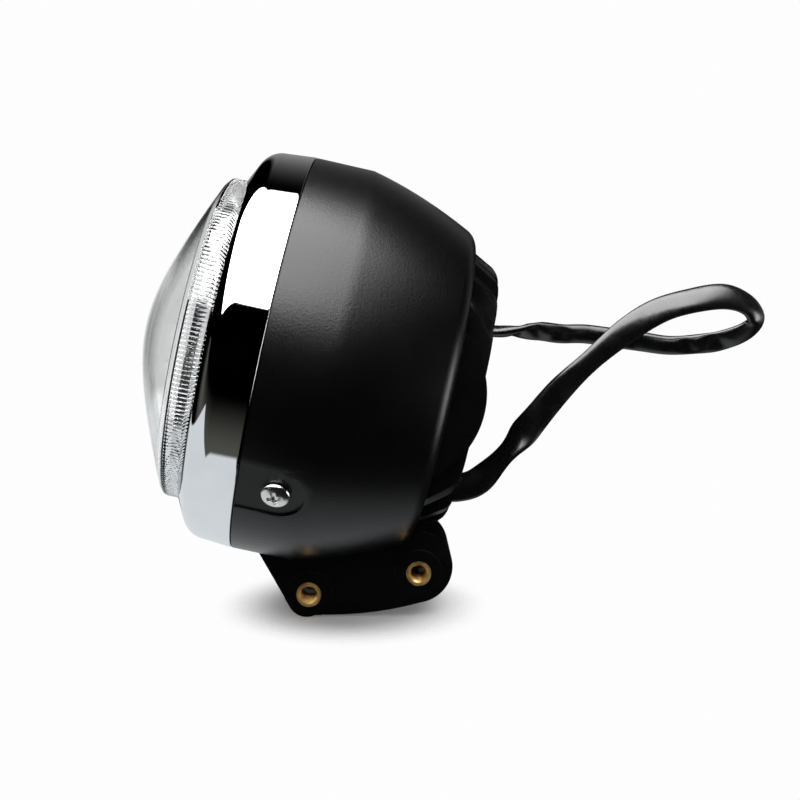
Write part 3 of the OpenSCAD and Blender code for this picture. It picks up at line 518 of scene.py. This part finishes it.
def make_bezel():
    """Plated ring: a drafted side, a rounded shoulder, a sloping face that ends in
    a rolled lip, and the same again one wall inside. The rear edge is rolled by a
    quarter circle. A row near each end of the side keeps its reflections straight."""
    centre = FRONT_R - SHOULDER_R
    profile = np.vstack([
        arc(BEZEL_R - ROLL_R, -ROLL_R, ROLL_R, 90, 5, 6),
        [[BEZEL_R - 0.1, -1.1], [FRONT_R + 0.1, SHOULDER_A + 1.1]],
        arc(centre, SHOULDER_A, SHOULDER_R, 0, FACE - 90, 40),
        arc(OPENING_R + LIP_R, LIP_A + LIP_R, LIP_R, FACE - 90, -180, 10),
        [[OPENING_R, SEAT_A], [SEAT_R, SEAT_A]],
        arc(centre, SHOULDER_A, SHOULDER_R - BEZEL_WALL, FACE - 90, 0, 16),
        [[BEZEL_R - BEZEL_WALL, 0]]])
    made = piece("bezel_ring", round_axis(profile[:, :1], profile[:, 1:], BEZEL_STEPS),
                 grid_faces(len(profile), BEZEL_STEPS, along=True), sharp=40)
    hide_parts("bezel")
    finish_with(made, CHROME)


make_bezel()


# Lens, in lamp millimetres

RIM_R = 67.2          # tips of the flutes
ROOT_R = 66.75        # grooves between the flutes
CROWN_R = 65.8        # edge of the dome
LENS_REACH = 54.4     # the crown's distance in front of the seam
DOME_EDGE = 31.5      # the same for the rim's front
BEVEL_RISE = 0.9      # how far the dome's edge stands in front of that
CROWN_TURN = 17.7     # how slowly the dome turns over its crown
CROWN_SLOPE = math.sqrt((LENS_REACH - DOME_EDGE - BEVEL_RISE + CROWN_TURN) ** 2
                        - CROWN_TURN ** 2) / CROWN_R
LENS_WALL = 2.8
CROWN_WALL = LENS_WALL * 1.08
FLANGE_R = 71.8
FLANGE_FRONT = -18.6
FLANGE_BACK = -15.6
SKIRT_R = 64.0        # the rim's inside
FLUTES = 240
FLUTES_BACK = -23.2
FLUTES_SHARE = np.array([0.3, 1, 1, 1, 0.3])[:, None]


def dome(radius):
    """Distance of the dome behind its crown at a radius: a hyperbola of revolution,
    the root of turn squared plus slope times radius squared, less turn."""
    return np.sqrt(CROWN_TURN ** 2 + (CROWN_SLOPE * radius) ** 2) - CROWN_TURN


def make_lens():
    """Clear shell. The profile runs from the crown out over the dome, round the
    bevel, along the fluted rim to the flange, and back inside. On the rim the
    radius swings between root and tip as a triangle wave of the angle, one wave to
    a flute, cut off at half its height: flat ribs with grooves between them."""
    steps = FLUTES * 4
    outer_r = np.linspace(0, 1, 28)[1:] ** 0.8 * (CROWN_R - 0.5)
    outer = np.stack([outer_r, dome(outer_r) - LENS_REACH], -1)
    rim = [[CROWN_R, dome(CROWN_R) - LENS_REACH + 0.25], [RIM_R - 0.55, -DOME_EDGE + 0.05],
           [RIM_R - 0.25, -DOME_EDGE + 0.3], [RIM_R - 0.2, -DOME_EDGE + 0.9]]
    flutes = [[ROOT_R, -DOME_EDGE + 0.95], [ROOT_R, -DOME_EDGE + 1.3],
              [ROOT_R, FLUTES_BACK - 3.8], [ROOT_R, FLUTES_BACK - 0.4], [ROOT_R, FLUTES_BACK]]
    flange = [[ROOT_R - 0.1, FLUTES_BACK + 0.05], [ROOT_R - 0.1, FLANGE_FRONT],
              [FLANGE_R, FLANGE_FRONT], [FLANGE_R, FLANGE_BACK],
              [SKIRT_R, FLANGE_BACK], [SKIRT_R, -DOME_EDGE + 2]]
    inner_r = np.linspace(1, 0, 26)[:-1] ** 0.8 * (CROWN_R - LENS_WALL)
    inner = np.stack([inner_r, dome(inner_r) - LENS_REACH + CROWN_WALL], -1)
    profile = np.vstack([outer, rim, flutes, flange, inner])
    t = ring_angles(steps)
    wave = np.abs(4 * ((FLUTES * t / (2 * np.pi)) % 1) - 2)
    radius = np.repeat(profile[:, :1], steps, 1)
    first = len(outer) + len(rim)
    radius[first:first + len(flutes)] += np.clip(wave, 0, 1) * (RIM_R - ROOT_R) * FLUTES_SHARE
    rows = len(profile)
    crowns = place([-LENS_REACH, -LENS_REACH + CROWN_WALL], [0, 0], [0, 0])
    points = np.vstack([round_axis(radius, profile[:, 1:], steps).reshape(-1, 3), crowns])
    k = np.arange(steps)
    next_k = (k + 1) % steps
    last = (rows - 1) * steps
    front_fan = np.stack([np.full(steps, rows * steps), k, next_k], -1)
    back_fan = np.stack([np.full(steps, rows * steps + 1), last + next_k, last + k], -1)
    faces = grid_faces(rows, steps, flip=True).tolist() + front_fan.tolist() + back_fan.tolist()
    made = piece("lens_shell", points, faces, sharp=38)
    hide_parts("lens")
    finish_with(made, LENS_CLEAR)


make_lens()


# Pieces taken over from the CAD model with rounded edges

housing = merged_copy("housing", "housing_moulding", bevel=0.0005, segments=3)
finish_with(housing, HOUSING_BLACK)
lug = merged_copy("mounting_lug", "lug_moulding", bevel=0.0006, segments=3,
                  against=nodes["housing"])
finish_with(lug, HOUSING_BLACK)
sink = merged_copy("heat_sink", "heat_sink_casting", bevel=0.00045, segments=2)
finish_with(sink, SINK_BLACK)
for side in ("near", "far"):
    screw = merged_copy("bezel_screw_" + side, "side_screw_" + side, bevel=0.0001,
                        segments=2, angle=40)
    finish_with(screw, SCREW_BRIGHT)


# Brass inserts, in the row's millimetres

FRONT_THREAD = (0.0, 0.0)
REAR_THREAD = (42.5, 18.5)
BUSH_FACE = 19.4      # distance of their faces from the lamp's middle plane
BUSH_LENGTH = 14.0
BUSH_R = 5.25
BUSH_CHAMFER = 0.2
BORE_R = 3.4
BORE_CHAMFER = 0.4
MOUTH_WIDENING = 0.45
THREAD_DEPTH = 0.62
THREAD_RUNOUT = 0.8   # depth over which the thread comes up from the mouth
PITCH = 1.25


def make_insert(node_name, x, z, side):
    """Threaded bush along Y, chamfered outside and at its mouth. The wall of the bore
    swings in and out as a helix, a triangle wave of place over pitch less turn."""
    steps = 96
    t = ring_angles(steps)
    depth = np.linspace(0, BUSH_LENGTH, 113)[:, None]
    phase = (depth / PITCH - t / (2 * np.pi)) % 1
    thread = THREAD_DEPTH * np.abs(2 * phase - 1) * np.clip(depth / THREAD_RUNOUT, 0, 1)
    bore = BORE_R + np.maximum(thread, np.clip(BORE_CHAMFER - depth, 0, BORE_CHAMFER))
    outside = np.array([[BUSH_R, BUSH_LENGTH], [BUSH_R, BUSH_CHAMFER],
                        [BUSH_R - BUSH_CHAMFER, 0], [BORE_R + MOUTH_WIDENING, 0]])
    radius = np.vstack([np.repeat(outside[:, :1], steps, 1), bore])
    inward = np.vstack([outside[:, 1:], depth])
    y = np.repeat(side * (inward - BUSH_FACE), steps, 1)
    points = np.stack([x + radius * np.cos(t), y, z + radius * np.sin(t)], -1) / 1000
    made = piece(node_name + "_bush", points,
                 grid_faces(len(radius), steps, along=True, flip=side > 0), sharp=40)
    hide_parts(node_name)
    finish_with(made, BRASS)


for end, (x, z) in (("front", FRONT_THREAD), ("rear", REAR_THREAD)):
    for side, sign in (("near", 1), ("far", -1)):
        make_insert(f"insert_{end}_{side}", x, z, sign)


# Finishes of the CAD nodes that keep their own shape

KEPT = {
    "lens_seal": SEAL_RUBBER, "trim_ring": TRIM_MIRROR, "reflector_upper": MIRROR,
    "reflector_lower": MIRROR, "insert_body": INNER_PLASTIC, "retaining_ring": STEEL,
    "retaining_screws": STEEL, "light_bridge": BARE_ALUMINIUM, "bridge_cap": MIRROR,
    "bridge_screws": STEEL, "low_beam_board": BOARD_WHITE, "high_beam_board": BOARD_WHITE,
    "low_beam_chips": CHIP_YELLOW, "high_beam_chips": CHIP_YELLOW,
    "thermal_pad": PAD_GREY, "heat_sink_seal": SEAL_RED, "heat_sink_screws": STEEL,
    "driver_board": BOARD_GREEN, "driver_coil": COIL_BLACK,
    "grommet_upper": GROMMET_RUBBER, "grommet_lower": GROMMET_RUBBER,
    "clip_nuts": SPRING_STEEL,
}
for name, material in KEPT.items():
    for slot in nodes[name].material_slots:
        slot.material = material


# Studio. A direction (dx, dy, dz) is followed to a level plane one unit over or under
# the lamp, where the edges of window and table are straight lines.

WINDOW_LIGHT = (12.0, 12.0, 12.0, 1)
WINDOW_SEEN_THROUGH_LENS = (1.2, 1.2, 1.2, 1)
TABLE_PALE = (0.72, 0.75, 0.77, 1)
FRONT_WHITE = (0.97, 0.98, 0.98, 1)
ROOM_GREY = (0.42, 0.42, 0.43, 1)
ROOM_WHITE = (0.985, 0.985, 0.985, 1)
NEARLY_LEVEL = 0.02   # keeps the place on a plane within reach for level directions


def overhead_window(tree, dx, dy, dz):
    """Mask of the big slanted soft window over the camera's side. On the plane its far
    edge is the line y + 0.556 x = 0.17, its near edge y = -1.8 and its left edge
    y - 1.54 x = 3.8, and it fades out towards the rear from x = 0.05 to 0.75."""
    height = maths(tree, "MAXIMUM", dz, NEARLY_LEVEL)
    x, y = maths(tree, "DIVIDE", dx, height), maths(tree, "DIVIDE", dy, height)
    far = maths(tree, "ADD", y, maths(tree, "MULTIPLY", x, 0.556))
    left = maths(tree, "SUBTRACT", y, maths(tree, "MULTIPLY", x, 1.54))
    return product(tree, ramp(tree, far, 0.20, 0.14), ramp(tree, y, -1.86, -1.74),
                   ramp(tree, left, 3.95, 3.6), ramp(tree, x, 0.75, 0.05),
                   ramp(tree, dz, 0.03, 0.06))


def table_below(tree, dx, dy, dz):
    """Mask of the pale table. On the plane its near edge is the line y - x / 2 = -0.43,
    its far edge y = 3.7 and its front edge x + 0.3 y = -2, and it fades out towards
    the rear from x = 0.3 to 1.3."""
    drop = maths(tree, "MAXIMUM", maths(tree, "MULTIPLY", dz, -1.0), NEARLY_LEVEL)
    x, y = maths(tree, "DIVIDE", dx, drop), maths(tree, "DIVIDE", dy, drop)
    near = maths(tree, "SUBTRACT", y, maths(tree, "MULTIPLY", x, 0.5))
    front = maths(tree, "ADD", x, maths(tree, "MULTIPLY", y, 0.3))
    return product(tree, ramp(tree, near, -0.47, -0.40), ramp(tree, y, 3.9, 3.5),
                   ramp(tree, front, -2.05, -1.95), ramp(tree, dz, -0.03, -0.06),
                   ramp(tree, x, 1.3, 0.3))


def studio_glow(tree, dx, dy, dz):
    """Colour of the dark studio between window and table. The angle runs round the
    lamp's long axis, from the camera's side over the top. Behind the lamp a grey glow
    rises from 104 to 170 degrees, as a smooth step to the power 1.6. A bright strip
    stands at the rear. Low on the camera's side lies an olive shade, short of blue."""
    angle = maths(tree, "ARCTAN2", dz, maths(tree, "MULTIPLY", dy, -1.0))
    rise = ramp(tree, angle, math.radians(104), math.radians(170))
    behind = product(tree, maths(tree, "POWER", rise, 1.6), 0.26, ramp(tree, dx, -0.30, -0.18))
    strip = product(tree, ramp(tree, dx, 0.95, 0.985), 6.0)
    olive = product(tree, ramp(tree, angle, math.radians(-22), math.radians(-62)), 0.085,
                    ramp(tree, dy, 0.25, -0.1), ramp(tree, dx, -0.08, -0.13))
    red = maths(tree, "ADD", maths(tree, "ADD", behind, olive), strip)
    green = maths(tree, "MULTIPLY", red, 0.995)
    blue = maths(tree, "SUBTRACT", red, maths(tree, "MULTIPLY", olive, 0.12))
    return node(tree, "ShaderNodeCombineColor", Red=red, Green=green, Blue=blue).outputs[0]


def make_world():
    """White room for the camera and for what is seen straight through the lens. In
    reflections it is the dark studio with its window and table. What skims the lens,
    or comes back through it from the front, sees white."""
    world = bpy.data.worlds.new("studio")
    bpy.context.scene.world = world
    world.use_nodes = True
    tree = world.node_tree
    tree.nodes.clear()
    way = node(tree, "ShaderNodeTexCoord").outputs["Generated"]
    dx, dy, dz = node(tree, "ShaderNodeSeparateXYZ", Vector=way).outputs
    path = node(tree, "ShaderNodeLightPath").outputs
    through = maths(tree, "GREATER_THAN", path["Transmission Depth"], 0.5)
    pane = blend_colours(tree, through, WINDOW_LIGHT, WINDOW_SEEN_THROUGH_LENS)
    studio = blend_colours(tree, overhead_window(tree, dx, dy, dz),
                           studio_glow(tree, dx, dy, dz), pane)
    studio = blend_colours(tree, table_below(tree, dx, dy, dz), studio, TABLE_PALE)
    front = product(tree, through, ramp(tree, dx, -0.25, -0.6, 0.0, 0.8))
    skim = product(tree, ramp(tree, dx, -0.16, -0.2), ramp(tree, dy, 0.8, 0.93),
                   ramp(tree, dz, 0.05, 0.0), ramp(tree, dz, -0.265, -0.235))
    studio = blend_colours(tree, maths(tree, "MAXIMUM", front, skim), studio, FRONT_WHITE)
    bounced = maths(tree, "GREATER_THAN", path["Glossy Depth"], 0.5)
    straight = maths(tree, "MAXIMUM", path["Is Camera Ray"], path["Is Transmission Ray"])
    room = blend_colours(tree, straight, ROOM_GREY, ROOM_WHITE)
    seen = blend_colours(tree, bounced, room, studio)
    shade = node(tree, "ShaderNodeBackground", Color=seen, Strength=1.0)
    node(tree, "ShaderNodeOutputWorld", Surface=shade.outputs[0])


def make_lights():
    """One wide soft lamp overhead, a little towards the camera. It isn't seen in
    reflections, where the world's window stands for it."""
    data = bpy.data.lights.new("overhead", "AREA")
    data.shape = "RECTANGLE"
    data.size, data.size_y = 1.6, 1.2
    data.energy = 9.0
    lamp = bpy.data.objects.new("overhead", data)
    lamp.location = (-0.25, -0.55, 1.3)
    lamp.rotation_euler = (math.radians(-23), math.radians(-10), 0)
    lamp.visible_glossy = False
    bpy.context.scene.collection.objects.link(lamp)


def make_flag():
    """Black card close behind the heat sink, on the far side from the camera. Only
    reflections see it, and it keeps the fins' ends dark."""
    front, rear, y, top = 0.028, 0.14, 0.105, 0.2
    points = [(front, y, 0), (rear, y, 0), (rear, y, top), (front, y, top)]
    made = piece("flag", points, [(0, 1, 2, 3)], body=None)
    made.data.materials.append(matt("flag_black", 0.0)[0])
    made.visible_camera = False
    made.visible_diffuse = False
    made.visible_transmission = False
    made.visible_shadow = False


def make_floor():
    """White disc that touches the lug's lowest point, level as the photograph is,
    fading out before its rim, so that only the lamp's soft shadow shows. For the
    camera it glows by what the light leaves short of white."""
    roll = math.radians(12.6)
    touch = np.array([0.00125, 0.0, -0.0094])
    shadow_centre = touch + (0.018, 0.0, 0.004)
    steps = 96
    t = ring_angles(steps)
    rings = np.array([0.0005, 0.05, 0.1, 0.2])[:, None]
    u, v = rings * np.cos(t), rings * np.sin(t)
    points = touch + np.stack([u * math.cos(roll), v, u * math.sin(roll)], -1)
    faces = grid_faces(len(rings), steps).tolist() + [list(range(steps))[::-1]]
    made = piece("floor", points, faces, body=None)
    material, tree, shader = matt("floor_white", 0.95)
    away = node(tree, "ShaderNodeVectorMath", set_operation="DISTANCE", i0=object_spot(tree),
                i1=tuple(shadow_centre)).outputs["Value"]
    camera_ray = node(tree, "ShaderNodeLightPath").outputs["Is Camera Ray"]
    lift = node(tree, "ShaderNodeEmission", Strength=maths(tree, "MULTIPLY", camera_ray, 0.1))
    lit = node(tree, "ShaderNodeAddShader", i0=shader.outputs[0], i1=lift.outputs[0])
    clear = node(tree, "ShaderNodeBsdfTransparent")
    mix = node(tree, "ShaderNodeMixShader", i0=ramp(tree, away, 0.026, 0.06, 1.0, 0.0),
               i1=clear.outputs[0], i2=lit.outputs[0])
    tree.links.new(mix.outputs[0], tree.nodes["Material Output"].inputs[0])
    made.data.materials.append(material)
    made.visible_glossy = False
    made.visible_transmission = False


make_world()
make_lights()
make_flag()
make_floor()

bpy.context.scene.view_settings.view_transform = "Standard"
